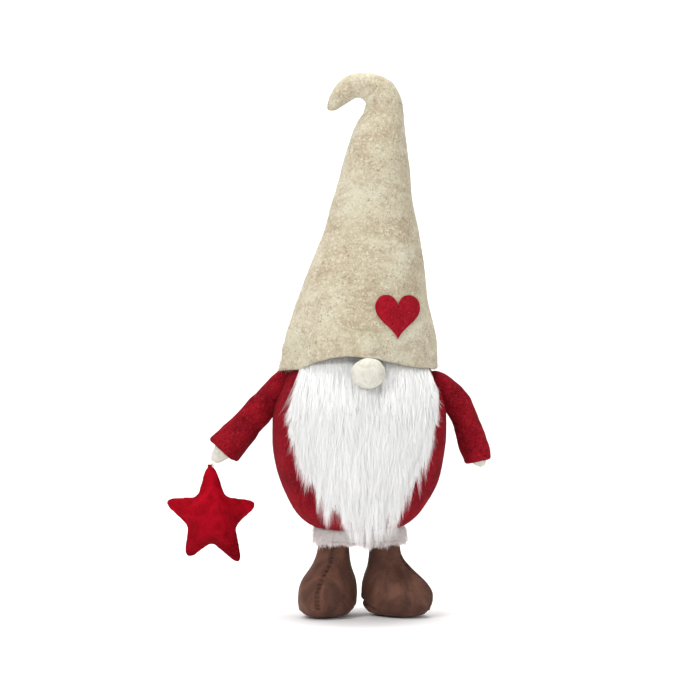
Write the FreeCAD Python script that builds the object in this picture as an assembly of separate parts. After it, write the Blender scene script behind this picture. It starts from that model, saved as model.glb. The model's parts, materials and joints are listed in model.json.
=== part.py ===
import FreeCAD, Part
import math
import os

# Tomte gnome figurine, standing, sewn from felt, faux fur and microsuede and filled with fibre.
# Frame: +Z up, the gnome faces -Y, +X is the onlooker's right.  Millimetres.
# The model is drawn about the body's own axis and is then moved by (BODY_X, BODY_Y), so that the
# origin ends up on the floor under the centre of the whole figurine, with the hanging star counted.

V = FreeCAD.Vector

BODY_X = 30.1
BODY_Y = 9.9
GAP = 0.3          # free room between pieces that move past each other
FILL_GAP = 0.2     # room between a filling and its cover
FAR = 300.0        # half size of a block that takes in the whole figurine

# Body: an egg, wider than it is deep.  Stations are (height, half width).
BODY_STATIONS = [(79, 22), (85, 43), (96, 59), (111, 70.5), (134, 80), (160, 85.4), (185, 86),
                 (203, 83.5), (217, 79), (240, 70), (264, 56), (281, 37), (289, 16)]
BODY_DEPTH = 0.84
BODY_FELT = 2.0

# Hat: stations are (x, height, half width, lean in degrees of the section).
HAT_STATIONS = [(0.5, 241, 75, 0), (0.5, 262, 74, 0), (0.5, 276, 72.2, 0), (2.5, 310, 62.8, 0),
                (6.6, 338, 55, 0), (11, 370, 45.5, 0), (12.2, 404, 38, 0), (15, 438, 31.9, 0),
                (18, 457, 28.4, 0), (20.5, 477, 23.6, 0)]
HAT_DEPTH_LOW = 0.87
HAT_FELT = 3.0
HAT_FILL_LOW = 256.0

# Hat tip: it bends on a ball in the top of the hat and curls over to the left.
TIP_BALL = V(20.5, 0, 477)
TIP_BALL_R = 23.0
TIP_RIM_DROP = 9.0
TIP_STATIONS = [(20.5, 477, 23, 0), (23, 488, 20, 0), (23, 499, 17.4, -14), (17.5, 509.5, 15.4, -46),
                (6, 515.8, 13.9, -78), (-7.5, 513.8, 11.8, -106), (-17.5, 505, 9.2, -130),
                (-24.5, 496, 6, -141), (-28, 491, 2.8, -146)]
WIRE_R = 1.5
HAT_WIRE = (V(6, 0, 300), V(17.5, 0, 452))
TIP_WIRE = (V(21, 0, 462), V(19, 0, 507), V(-8, 0, 513))
TIP_WIRE_START = V(0.25, 0, 1)

# Heart sewn on the hat, and the nose, which rests on the beard where the body has this half width.
HEART_AT = V(35.7, 0, 290.5)
HEART_HALF = 21.4
HEART_THICK = 2.2
NOSE_R = 15.0
NOSE_X = 7.6
NOSE_Z = 237.4
NOSE_BODY_HALF = 72.0

# Beard: half outlines are (x, height) from the hat's hem down to the point of the beard.
BEARD_LEFT = [(-58, 238.5), (-66, 203), (-63, 164), (-49, 126), (-31, 104), (2, 82)]
BEARD_RIGHT = [(34, 98), (54, 128), (65, 164), (67, 203), (60, 238.5)]
BEARD_BACKING = 1.8
BEARD_PILE = 14.0

# Fur trim under the body, and what carries the body inside.
TRIM_HALF = (43, 34)
TRIM_Z = (70, 84)
BOARD_HALF = (33, 27)
BOARD_Z = (84, 88)
LEG_X = (-26, 24)
LEG_Y = 5.5
LEG_R = 4.0
LEG_Z = (26, 116)
LEG_END_ROOM = 2.0

# Arms: stations are (x, height, radius, lean) from the shoulder ball to the cuff.
ARM_FLAT = 0.92
SLEEVE_FELT = 2.0
LEFT_SHOULDER = V(-79, 0, 221)
LEFT_LEAN = 41.6
LEFT_ARM_RUN = [(0, 13.2), (30, 14), (58, 15.3), (79.5, 17.6)]
LEFT_HAND_RUN = (73, 96.5)
RIGHT_SHOULDER = V(83.5, 0, 221)
RIGHT_ARM_STATIONS = [(83.5, 221, 13.2, -38), (99, 199, 13.4, -29), (108, 175, 13.8, -16),
                      (113.5, 152.5, 13.2, -12)]
RIGHT_HAND = [(112.5, 157, 8.5, -20), (116, 150.5, 6.5, -26), (119, 145.5, 2.5, -28)]
HAND_R = (11.5, 1.6)
ARM_WIRE_R = 1.25
ARM_ROOM_HALF = 60.0

# Slots in the body's sides that take the shoulder ends: an outline of (x, height), and a round end.
SLOT_HALF = 13.6
SLOT_ROUND = 14.5
LEFT_SLOT = [(-67.5, 211.8), (-90, 184), (-130, 184), (-130, 235.5), (-79, 235.5)]
RIGHT_SLOT = [(71.5, 211.5), (87, 186), (130, 186), (130, 235.5), (83.5, 235.5)]

# Star: (direction in degrees, reach) of each point; it hangs on a short thread with two knots.
STAR_POINTS = [(90, 51.5), (18, 46), (-58, 52.5), (-124, 45), (161, 48.5)]
STAR_INNER = 26.5
STAR_HALF_THICK = 14.0
STAR_SKIN = 1.6
STAR_TIP_CUT = 0.88
STAR_LEVELS = [(1, 0), (0.86, 0.62), (0.5, 1)]   # (share of the outline, share of the thickness)
KNOT_R = 1.0
THREAD_R = 0.6
THREAD_LENGTH = 2.5

# Boots: stations are (height, centre, half length, half width) along the toe direction.
BOOT_STATIONS = [(2, 12, 33, 24), (9, 13, 35.5, 26), (22, 13, 35.5, 26), (32, 11, 32, 25),
                 (41, 7, 25.5, 22), (49, 3.2, 20, 19), (58, 0.7, 16.6, 16.6), (69.5, 0, 15.5, 15.5)]
BOOT_SKIN = 1.8
SOLE_THICK = 2.0
SOLE_HALF = (32, 23)
INSOLE_Z = (2.2, 4.2)
PELLET_Z = (4.4, 22)
BOOT_FILL_Z = (22.2, 67)
TOE_TURN = (-25, 62)

nodes = {}


def section(x, z, half_x, half_y, lean):
    """One elliptical section wire, leant about Y."""
    ring = Part.Wire([Part.Circle(V(0, 0, 0), V(0, 0, 1), 1).toShape()])
    place = FreeCAD.Matrix()
    place.scale(half_x, half_y, 1)
    place.rotateY(math.radians(lean))
    place.move(V(x, 0, z))
    return ring.transformGeometry(place)


def loft(stations, grow, depth):
    """Solid through stations of (x, height, radius, lean); depth gives a station's Y ratio."""
    wires = []
    for x, z, radius, lean in stations:
        half = radius + grow
        wires.append(section(x, z, half, radius * depth(z) + grow, lean))
    return Part.makeLoft(wires, True, False)


def block(x_low, x_high, y_low, y_high, z_low, z_high):
    return Part.makeBox(x_high - x_low, y_high - y_low, z_high - z_low, V(x_low, y_low, z_low))


def halves(solid):
    """The front half and the back half of a solid, split at the side seams."""
    front = solid.common(block(-FAR, FAR, -FAR, 0, 0, 2 * FAR))
    back = solid.common(block(-FAR, FAR, 0, FAR, 0, 2 * FAR))
    return front, back


def rod(start, end, radius):
    line = end - start
    return Part.makeCylinder(radius, line.Length, start, line)


def body_solid(inset):
    """The egg of the body, inset by a distance (a negative one makes it larger)."""
    low, high = BODY_STATIONS[0][0], BODY_STATIONS[-1][0]
    stretch = 1 - 2 * inset / (high - low)
    middle = (low + high) / 2
    wires = []
    for z, half in BODY_STATIONS:
        level = middle + (z - middle) * stretch
        wires.append(section(0, level, half - inset, half * BODY_DEPTH - inset, 0))
    return Part.makeLoft(wires, True, False)


def hat_depth(z):
    low = HAT_STATIONS[0][1]
    return HAT_DEPTH_LOW + (1 - HAT_DEPTH_LOW) * min((z - low) / (TIP_BALL.z - low), 1)


def hat_solid(grow):
    return loft(HAT_STATIONS, grow, hat_depth)


def tip_solid(grow):
    """The curled tip and the half ball at its lower end; an inner one stops short of the end."""
    stations = TIP_STATIONS if grow == 0 else TIP_STATIONS[:-1]
    curl = loft(stations, grow, lambda z: 1)
    half_ball = Part.makeSphere(TIP_BALL_R + grow, TIP_BALL, V(0, 0, 1), -90, 0, 360)
    return curl, half_ball


def tip_skin():
    curl, half_ball = tip_solid(0)
    curl_core, ball_core = tip_solid(-HAT_FELT)
    return curl.cut(curl_core).fuse(half_ball.cut(ball_core)).removeSplitter()


def outline_prism(wire):
    """A long prism towards the onlooker from an outline in the XZ plane."""
    return Part.Face(wire).extrude(V(0, -FAR, 0))


def beard_prism():
    points = [V(x, 0, z) for x, z in BEARD_LEFT + BEARD_RIGHT]
    curve = Part.BSplineCurve()
    curve.interpolate(points)
    top = Part.LineSegment(points[-1], points[0]).toShape()
    return outline_prism(Part.Wire([curve.toShape(), top]))


def heart_prism():
    """Two round lobes that run into one point."""
    half = HEART_HALF
    arcs = []
    for side in (-1, 1):
        lobe = [(0, 0.71), (0.5, 0.99), (0.99, 0.44)]
        flank = [(0.99, 0.44), (0.7, -0.27), (0, -1)]
        for three in (lobe, flank):
            spots = [HEART_AT + V(side * x * half, 0, z * half) for x, z in three]
            arcs.append(Part.Arc(*spots).toShape())
    return outline_prism(Part.Wire(Part.sortEdges(arcs)[0]))


def direction(degrees):
    """A unit arrow in the XZ plane; 0 is +X and 90 is +Z."""
    return V(math.cos(math.radians(degrees)), 0, math.sin(math.radians(degrees)))


def left_arm_point(distance):
    """A point on the left arm's straight line, at a distance from the shoulder."""
    return LEFT_SHOULDER + direction(-90 - LEFT_LEAN) * distance


def arm_solid(shoulder, stations, grow):
    tube = loft(stations, grow, lambda z: ARM_FLAT)
    ball = Part.makeSphere(stations[0][2] * ARM_FLAT + grow, shoulder)
    return tube.fuse(ball)


def slot(shoulder, outline):
    """The room that an arm sweeps inside the body's side, over its whole travel."""
    spots = [V(x, -SLOT_HALF, z) for x, z in outline]
    fan = Part.Face(Part.makePolygon(spots + spots[:1])).extrude(V(0, 2 * SLOT_HALF, 0))
    end = rod(shoulder - V(0, SLOT_HALF, 0), shoulder + V(0, SLOT_HALF, 0), SLOT_ROUND)
    return fan.fuse(end)


def cut_all(solid, tools):
    for tool in tools:
        solid = solid.cut(tool)
    return solid


def make_body(slots):
    """Two felt panels with their filling, on a board with two leg rods, and the fur band under it."""
    low, high = LEG_Z
    rods = [rod(V(x, LEG_Y, low), V(x, LEG_Y, high), LEG_R) for x in LEG_X]
    skin = cut_all(body_solid(0).cut(body_solid(BODY_FELT)), slots + rods)
    nodes["body_front_panel"], nodes["body_back_panel"] = halves(skin)
    board = section(0, BOARD_Z[0], BOARD_HALF[0], BOARD_HALF[1], 0)
    board = Part.Face(board).extrude(V(0, 0, BOARD_Z[1] - BOARD_Z[0]))
    nodes["base_board"] = cut_all(board, rods)
    below = block(-FAR, FAR, -FAR, FAR, 0, BOARD_Z[1] + FILL_GAP)
    nodes["body_stuffing"] = cut_all(body_solid(BODY_FELT + FILL_GAP), slots + rods + [below])
    nodes["left_leg_rod"], nodes["right_leg_rod"] = rods
    trim = section(0, TRIM_Z[0], TRIM_HALF[0], TRIM_HALF[1], 0)
    trim = Part.Face(trim).extrude(V(0, 0, TRIM_Z[1] - TRIM_Z[0]))
    nodes["fur_trim"] = cut_all(trim, [body_solid(-FILL_GAP / 2)] + rods)


def make_hat(nose):
    """Two felt panels that stop below the tip's ball, with a filling and a wire."""
    ball_room = Part.makeSphere(TIP_BALL_R + GAP, TIP_BALL)
    rim = block(-FAR, FAR, -FAR, FAR, TIP_BALL.z - TIP_RIM_DROP, 2 * FAR)
    skin = cut_all(hat_solid(0), [hat_solid(-HAT_FELT), ball_room, rim, nose])
    nodes["hat_front_panel"], nodes["hat_back_panel"] = halves(skin)
    wire = rod(*HAT_WIRE, WIRE_R)
    nodes["hat_wire"] = wire
    low = block(-FAR, FAR, -FAR, FAR, 0, HAT_FILL_LOW)
    fill = hat_solid(-HAT_FELT - FILL_GAP)
    nodes["hat_stuffing"] = cut_all(fill, [body_solid(-GAP), ball_room, rim, low, wire])


def make_tip():
    """The curled tip: two felt panels, their filling and a bent wire."""
    nodes["hat_tip_front_panel"], nodes["hat_tip_back_panel"] = halves(tip_skin())
    path = Part.Wire([Part.Arc(*TIP_WIRE).toShape()])
    ring = Part.Wire([Part.Circle(TIP_WIRE[0], TIP_WIRE_START, WIRE_R).toShape()])
    wire = path.makePipeShell([ring], True, False)
    nodes["hat_tip_wire"] = wire
    curl, half_ball = tip_solid(-HAT_FELT - FILL_GAP)
    nodes["hat_tip_stuffing"] = curl.fuse(half_ball).removeSplitter().cut(wire)


def shell_over_body(start, thickness):
    """A layer over the whole body, from a distance outside its felt."""
    return body_solid(-start - thickness).cut(body_solid(-start))


def make_front(nose):
    """Beard, nose and heart; the beard's backing stops above the fur band."""
    backing = shell_over_body(FILL_GAP, BEARD_BACKING).common(beard_prism())
    band_room = block(-FAR, FAR, -FAR, FAR, 0, TRIM_Z[1] + GAP)
    nodes["beard_backing"] = cut_all(backing, [nose, band_room])
    pile = shell_over_body(2 * FILL_GAP + BEARD_BACKING, BEARD_PILE)
    nodes["beard_pile"] = pile.common(beard_prism()).cut(nose)
    nodes["nose_ball"] = nose
    felt = hat_solid(FILL_GAP + HEART_THICK).cut(hat_solid(FILL_GAP))
    nodes["heart_applique"] = felt.common(heart_prism())


def make_arm(side, shoulder, stations, hand, hand_room):
    """Sleeve, filling, bending wire and hand of one arm."""
    core = arm_solid(shoulder, stations, -SLEEVE_FELT)
    nodes[side + "_sleeve"] = arm_solid(shoulder, stations, 0).cut(core)
    wire_end = V(stations[-2][0], 0, stations[-2][1])
    wire = rod(shoulder, wire_end, ARM_WIRE_R)
    nodes[side + "_arm_wire"] = wire
    fill = arm_solid(shoulder, stations, -SLEEVE_FELT - FILL_GAP)
    nodes[side + "_arm_stuffing"] = cut_all(fill, [wire, hand_room])
    nodes[side + "_hand"] = hand


def make_left_arm():
    """The straight arm that holds the star; gives the point of its hand."""
    stations = []
    for distance, radius in LEFT_ARM_RUN:
        spot = left_arm_point(distance)
        stations.append((spot.x, spot.z, radius, LEFT_LEAN))
    start, tip = [left_arm_point(distance) for distance in LEFT_HAND_RUN]
    hand = Part.makeCone(HAND_R[0], HAND_R[1], (tip - start).Length, start, tip - start)
    make_arm("left", LEFT_SHOULDER, stations, hand, room_beyond(start, LEFT_LEAN))
    return tip


def make_right_arm():
    """The arm that hangs in a bow."""
    x, z, _, lean = RIGHT_HAND[0]
    hand = loft(RIGHT_HAND, 0, lambda z: 1)
    make_arm("right", RIGHT_SHOULDER, RIGHT_ARM_STATIONS, hand, room_beyond(V(x, 0, z), lean))


def room_beyond(point, lean):
    """A large block that starts at a point and lies beyond it down an arm."""
    half = ARM_ROOM_HALF
    room = block(-half, half, -half, half, -2 * half, 0)
    room.rotate(V(0, 0, 0), V(0, 1, 0), lean)
    room.translate(point)
    return room


def star_wire(scale_by, y, centre):
    """The star's outline with blunt points."""
    angles = [angle for angle, _ in STAR_POINTS]
    valleys = []
    for angle, after in zip(angles, angles[1:] + angles[:1]):
        after = after - 360 if after > angle else after
        valleys.append(direction((angle + after) / 2) * STAR_INNER)
    spots = []
    for index, (angle, reach) in enumerate(STAR_POINTS):
        tip = direction(angle) * reach
        for valley in (valleys[index - 1], valleys[index]):
            spots.append(valley + (tip - valley) * STAR_TIP_CUT)
        spots.append(valleys[index])
    spots = [centre + spot * scale_by + V(0, y, 0) for spot in spots]
    return Part.makePolygon(spots + spots[:1])


def star_solid(grow, centre):
    """The front and back halves of a puffed star, full size at its seam."""
    full = 1 + grow / STAR_INNER
    half = STAR_HALF_THICK + grow
    solids = []
    for side in (-1, 1):
        wires = [star_wire(full * size, side * half * out, centre) for size, out in STAR_LEVELS]
        solids.append(Part.makeLoft(wires, True, True))
    return solids


def make_star(hand_tip):
    """Thread with two knots, and the star under it."""
    top = hand_tip - V(0, 0, GAP + KNOT_R)
    low = top - V(0, 0, THREAD_LENGTH)
    knots = [Part.makeSphere(KNOT_R, spot) for spot in (top, low)]
    nodes["star_thread"] = rod(top, low, THREAD_R).multiFuse(knots)
    reach = STAR_POINTS[0][1] * STAR_TIP_CUT + STAR_INNER * (1 - STAR_TIP_CUT)
    centre = low - V(0, 0, KNOT_R + GAP + reach)
    front, back = star_solid(0, centre)
    front_core, back_core = star_solid(-STAR_SKIN, centre)
    nodes["star_front_panel"] = front.cut(front_core)
    nodes["star_back_panel"] = back.cut(back_core)
    front_fill, back_fill = star_solid(-STAR_SKIN - FILL_GAP, centre)
    nodes["star_stuffing"] = front_fill.fuse(back_fill).removeSplitter()
    return top, low


def boot_loft(grow, low, high):
    wires = []
    for z, centre, half_long, half_wide in BOOT_STATIONS:
        wires.append(section(centre, z, half_long + grow, half_wide + grow, 0))
    whole = Part.makeLoft(wires, True, False)
    return whole.common(block(-FAR, FAR, -FAR, FAR, low, high))


def boot_pieces():
    """One boot along +X: two upper panels, sole, insole board, pellet bag and filling."""
    bottom, top = BOOT_STATIONS[0][0], BOOT_STATIONS[-1][0]
    upper = boot_loft(0, bottom, top).cut(boot_loft(-BOOT_SKIN, bottom, top))
    right, left = halves(upper)
    leg_room = rod(V(0, 0, LEG_Z[0] - LEG_END_ROOM), V(0, 0, LEG_Z[1]), LEG_R + GAP)
    sole = Part.Face(section(BOOT_STATIONS[0][1], 0, *SOLE_HALF, 0)).extrude(V(0, 0, SOLE_THICK))
    return {
        "_boot_right_panel": right,
        "_boot_left_panel": left,
        "_boot_sole": sole,
        "_boot_insole": boot_loft(-BOOT_SKIN - FILL_GAP, *INSOLE_Z),
        "_boot_pellet_bag": boot_loft(-BOOT_SKIN - 2 * FILL_GAP, *PELLET_Z),
        "_boot_stuffing": boot_loft(-BOOT_SKIN - FILL_GAP, *BOOT_FILL_Z).cut(leg_room),
    }


def make_boots():
    """The same boot on each leg, with its toe turned outwards."""
    pieces = boot_pieces()
    for side, name in enumerate(("left", "right")):
        for ending, piece in pieces.items():
            placed = piece.copy()
            placed.rotate(V(0, 0, 0), V(0, 0, 1), TOE_TURN[side] - 90)
            placed.translate(V(LEG_X[side], LEG_Y, 0))
            nodes[name + ending] = placed


def build():
    """Make every node; gives the two pivots of the star's thread."""
    nose_y = -(BODY_DEPTH * NOSE_BODY_HALF + BEARD_BACKING + NOSE_R)
    nose = Part.makeSphere(NOSE_R, V(NOSE_X, nose_y, NOSE_Z))
    make_body([slot(LEFT_SHOULDER, LEFT_SLOT), slot(RIGHT_SHOULDER, RIGHT_SLOT)])
    make_hat(nose)
    make_tip()
    make_front(nose)
    hand_tip = make_left_arm()
    make_right_arm()
    make_boots()
    return make_star(hand_tip)


def report(pivots):
    """Print the joints' places in the moved frame, and the whole size."""
    move = V(BODY_X, BODY_Y, 0)
    spots = {"left shoulder": LEFT_SHOULDER, "right shoulder": RIGHT_SHOULDER, "tip ball": TIP_BALL,
             "thread top": pivots[0], "thread low": pivots[1],
             "left leg": V(LEG_X[0], LEG_Y, 0), "right leg": V(LEG_X[1], LEG_Y, 0)}
    for name, spot in spots.items():
        print(name, [round(value, 2) for value in spot + move])
    boxes = [shape.optimalBoundingBox(False, False) for shape in nodes.values()]
    for low, high in (("XMin", "XMax"), ("YMin", "YMax"), ("ZMin", "ZMax")):
        ends = (min(getattr(box, low) for box in boxes), max(getattr(box, high) for box in boxes))
        print(low[0], [round(end, 2) for end in ends], "centre", round(sum(ends) / 2, 2))


pivots = build()
os.makedirs("parts", exist_ok=True)
for name, shape in nodes.items():
    shape.translate(V(BODY_X, BODY_Y, 0))
    print(name, len(shape.Solids), shape.isValid(), round(shape.Volume / 1000, 2))
    shape.exportStep("parts/" + name + ".step")
report(pivots)
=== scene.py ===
import json
import math

import bmesh
import bpy
import numpy as np
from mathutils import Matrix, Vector, kdtree, noise
from mathutils.bvhtree import BVHTree
from mathutils.geometry import delaunay_2d_cdt

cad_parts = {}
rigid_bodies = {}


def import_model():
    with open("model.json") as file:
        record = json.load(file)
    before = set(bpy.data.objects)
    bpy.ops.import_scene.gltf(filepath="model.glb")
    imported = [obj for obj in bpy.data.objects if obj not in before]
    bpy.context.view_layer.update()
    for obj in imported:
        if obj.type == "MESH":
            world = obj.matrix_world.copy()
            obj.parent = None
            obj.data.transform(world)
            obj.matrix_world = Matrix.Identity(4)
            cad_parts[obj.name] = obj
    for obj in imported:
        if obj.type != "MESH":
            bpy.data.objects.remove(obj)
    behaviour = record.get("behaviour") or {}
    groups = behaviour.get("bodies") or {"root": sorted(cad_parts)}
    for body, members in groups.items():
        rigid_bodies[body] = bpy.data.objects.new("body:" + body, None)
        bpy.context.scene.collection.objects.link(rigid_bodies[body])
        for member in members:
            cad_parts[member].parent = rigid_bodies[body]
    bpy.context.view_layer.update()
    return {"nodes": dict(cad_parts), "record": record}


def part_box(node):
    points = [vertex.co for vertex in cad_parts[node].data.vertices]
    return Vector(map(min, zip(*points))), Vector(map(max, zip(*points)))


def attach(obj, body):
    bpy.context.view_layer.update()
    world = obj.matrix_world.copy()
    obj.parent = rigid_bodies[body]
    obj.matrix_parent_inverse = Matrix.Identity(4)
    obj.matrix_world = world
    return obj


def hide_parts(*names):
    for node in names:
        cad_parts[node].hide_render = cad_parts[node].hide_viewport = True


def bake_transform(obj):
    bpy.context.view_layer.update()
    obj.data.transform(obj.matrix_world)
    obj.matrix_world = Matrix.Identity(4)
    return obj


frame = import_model()
noise.seed_set(7)

# Sizes below are millimetres about the body's own upright axis, which stands where the base board is.
MM = 0.001
BOARD_LOW, BOARD_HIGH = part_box("base_board")
AXIS = Vector(((BOARD_LOW[0] + BOARD_HIGH[0]) / 2, (BOARD_LOW[1] + BOARD_HIGH[1]) / 2, 0))


def joint_spot(name):
    """A joint's place, in millimetres about the body's axis."""
    for joint in frame["record"]["behaviour"]["joints"]:
        if joint["name"] == name:
            return (Vector(joint["pos_m"]) - AXIS) / MM
    raise KeyError(name)


TIP_BALL = joint_spot("hat_tip_bend")
THREAD_TOP = joint_spot("star_swing")
THREAD_LOW = joint_spot("star_sway")
LEGS = {"left": joint_spot("left_boot_turn"), "right": joint_spot("right_boot_turn")}

# Hat: (x, height, half width, lean) from the brim to the curled end.
HAT_RUN = [(0.3, 241, 74.9, 0), (0.8, 262, 74.3, 0), (0.3, 275, 72.3, 0), (1, 292, 67.4, 0),
           (2.3, 310, 62.7, 0), (6.4, 338, 55, 0), (11.4, 370, 45.2, 0), (11.8, 404, 37.9, 0),
           (14.9, 438, 31.9, 0), (17.9, 457, 28.4, 0), (20.8, 475.5, 23.8, 0),
           (23.4, 487, 19.8, -2), (23, 499, 17.4, -14), (17.5, 509.5, 15.4, -46),
           (6, 515.8, 13.9, -78), (-7.5, 513.8, 11.8, -106), (-17.5, 505, 9.2, -130),
           (-24.5, 496, 6.2, -141), (-27.5, 491.5, 3.4, -146), (-28.6, 490, 0.8, -146)]
# The hat's depth for its width, at the brim and from the bend up.
HAT_DEPTH = (0.87, 1.0)
# The brim's level, half its width and depth, and the height up to which its arch and flare reach.
BRIM = HAT_RUN[0][1]
BRIM_HALF = (74, 64)
BRIM_SHAPED_TO = 330
# The heights between which the hat is filled, and the height above which its tip is filled.
HAT_FILLING = (284, 450)
TIP_FILLING_LOW = 510

# Body: (height, half width to the left, half width to the right) from the crown to the floor side.
BODY_RUN = [(288, 10, 10), (281, 36, 36), (264, 56, 56), (240, 70, 70), (217, 79.5, 80),
            (203, 84.6, 85), (185, 86, 86), (163, 85.7, 84.6), (134, 79.8, 78.4), (111, 70, 67.4),
            (96, 59, 56.8), (86.5, 45, 43), (81, 28, 27), (79.2, 8, 8)]
# The body's depth for its width.
BODY_DEPTH = 0.84

# Sleeves and hands: (x, height, radius, lean) outwards from the shoulder.
SLEEVE_RUN = {
    "left": [(-63, 239, 9, 42), (-71, 230, 12.4, 42), (-86, 213, 13.6, 42), (-99, 198.5, 14, 41.6),
             (-112, 184, 14.9, 41.6), (-123, 171.5, 16.2, 41.6), (-132, 161.5, 17.8, 41.6)],
    "right": [(62, 232, 8.5, -48), (72, 228, 11.7, -45), (86, 215.5, 13.4, -38), (98, 200, 13.6, -29),
              (105.5, 182, 13.6, -17), (110.5, 165.5, 14.2, -14), (114.3, 152, 13, -13)],
}
HAND_RUN = {
    "left": [(-127, 167, 11.5, 41), (-133.5, 159.8, 9.4, 41), (-139, 153.6, 6.4, 38),
             (-142.6, 149.6, 3.2, 36)],
    "right": [(112, 159, 9, -20), (115.5, 152, 7.6, -26), (118.2, 147.6, 5, -28),
              (119.6, 145.2, 2, -28)],
}
# A sleeve's depth for its width.
ARM_FLAT = 0.92

# Star: (direction in degrees, reach) of each point about its middle, and how far back from a point
# and from a valley the outline starts to round off.
STAR_POINTS = [(91.5, 59.5), (17, 50.5), (-58, 57.5), (-122.5, 51), (161, 53)]
STAR_INNER = 27.6
POINT_ROUND, VALLEY_ROUND = 14.5, 5.0
# The star's middle: to the left of the thread's lower end and below it.
STAR_LEFT, STAR_DROP = 1.0, 50.2
# How far apart the points of the star's cloth lie.
SHEET_STEP = 2.2
# The star's thread: the radius of its knots and of its two strands, and how far they lie off the middle.
KNOT_R, COTTON_R, COTTON_APART = 1.0, 0.35, 0.3

# Beard: the reach of the hair ends, (x, height) from the left brim round to the right brim.
BEARD_EDGE = [(-58, 240), (-69, 206), (-69, 166), (-52, 125), (-34, 98), (2, 70), (38, 91),
              (57, 126), (70, 164), (79, 206), (71, 240)]
# The patch that the beard's fur grows on, and the knitted backing under it, as it was cut.
ROOTS_X, ROOTS_Z = (-78, 86), (106, 259)
SKIN_LEFT, SKIN_WIDTH, SKIN_TOP = -57, 122, 243
BEARD_HAIRS = 62000
BEARD_HAIR_WIDTH = 0.3

# Fur band: half its width and depth, its hairs, and (height, how much wider) down its side.
TRIM_HALF = (42.5, 33.5)
TRIM_RUN = [(88, -2.5), (85, 0), (81, 1.0), (77, 0.5), (74.5, -1.5), (73.6, -6), (73.4, -20)]
TRIM_HAIRS = 7000
TRIM_HAIR_WIDTH = 0.36
WOOL_WIDTH = 0.14

# Nose: (x, radius). Heart: (x, height, half width).
NOSE = (7.6, 15.0)
HEART = (35.7, 290.5, 21.5)

# Camera: place and focal length, for a sensor 36 mm wide.
CAMERA = (-9.7, -2000, 258.3)
LENS = 105.8


def place(x, y, z):
    """A point given in millimetres about the body's axis, as metres in the frame."""
    return Vector((x * MM + AXIS.x, y * MM + AXIS.y, z * MM))


# ---------------------------------------------------------------- meshes

def smooth_through(rows, count):
    """A Catmull-Rom curve through rows of numbers, sampled evenly by row."""
    rows = np.array(rows, float)
    padded = np.vstack([2 * rows[0] - rows[1], rows, 2 * rows[-1] - rows[-2]])
    out = []
    for step in np.linspace(0, len(rows) - 1, count):
        index = min(int(step), len(rows) - 2)
        t = step - index
        a, b, c, d = padded[index:index + 4]
        out.append(0.5 * (2 * b + (c - a) * t + (2 * a - 5 * b + 4 * c - d) * t ** 2
                          + (3 * b - a - 3 * c + d) * t ** 3))
    return np.array(out)


def grid_faces(rows, around):
    """Four-sided faces between rows of points that run round a piece."""
    faces = []
    for row in range(rows - 1):
        for step in range(around):
            after = (step + 1) % around
            low, high = row * around, (row + 1) * around
            faces.append((low + step, low + after, high + after, high + step))
    return faces


def put_in_scene(name, data):
    thing = bpy.data.objects.new(name, data)
    bpy.context.scene.collection.objects.link(thing)
    return thing


def finish_in(piece, finish):
    """Give a whole piece one finish."""
    piece.data.materials.clear()
    piece.data.materials.append(finish)


def smooth_faces(mesh):
    for face in mesh.polygons:
        face.use_smooth = True


def close_bmesh(name, work, finish):
    """Turn a mesh under construction into an object with one finish."""
    mesh = bpy.data.meshes.new(name)
    work.to_mesh(mesh)
    work.free()
    piece = put_in_scene(name, mesh)
    finish_in(piece, finish)
    return piece


def make_piece(name, points, faces, finish, body):
    """A smooth mesh object that rides on a body; points are in metres in the frame."""
    mesh = bpy.data.meshes.new(name)
    mesh.from_pydata([tuple(point) for point in points], [], faces)
    mesh.validate()
    mesh.update()
    piece = put_in_scene(name, mesh)
    finish_in(piece, finish)
    smooth_faces(mesh)
    fix_normals(piece)
    if body:
        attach(piece, body)
    return piece


def fix_normals(piece):
    """Turn every face outwards."""
    work = bmesh.new()
    work.from_mesh(piece.data)
    bmesh.ops.recalc_face_normals(work, faces=work.faces)
    work.to_mesh(piece.data)
    work.free()


def ring(x, z, half_x, half_y, lean, around):
    """One closed elliptical row of points, leant about Y; it starts at the front."""
    turn = math.radians(lean)
    points = []
    for step in range(around):
        angle = 2 * math.pi * step / around
        across = half_x * math.sin(angle)
        depth = -half_y * math.cos(angle)
        points.append((x + across * math.cos(turn), depth, z - across * math.sin(turn)))
    return points


def tube(run, depth, count, around):
    """Rows of rings through a run of (x, height, radius, lean); depth is the Y ratio."""
    rows = []
    for x, z, radius, lean in smooth_through(run, count):
        rows.append(ring(x, z, radius, radius * depth, lean, around))
    return rows


def dent(points, size, depth, seed, stretch=(1, 1, 1)):
    """Move points along noise, for soft unevenness; sizes in millimetres."""
    shift = Vector((seed * 7.3, seed * 3.1, seed * 5.7))
    for point in points:
        spot = Vector([point[axis] * stretch[axis] / size for axis in range(3)]) + shift
        push = noise.noise_vector(spot)
        for axis in range(3):
            point[axis] += push[axis] * depth
    return points


def closed_rows(rows):
    """Points and faces of stacked rings with both ends capped."""
    around = len(rows[0])
    points = [list(point) for row in rows for point in row]
    faces = grid_faces(len(rows), around)
    for row, flip in ((rows[0], False), (rows[-1], True)):
        points.append([sum(values) / around for values in zip(*row)])
        hub = len(points) - 1
        base = len(rows) * around - around if flip else 0
        for step in range(around):
            pair = (base + step, base + (step + 1) % around)
            faces.append((pair[0], pair[1], hub) if flip else (pair[1], pair[0], hub))
    return points, faces


def to_frame(points):
    return [place(*point) for point in points]


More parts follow.
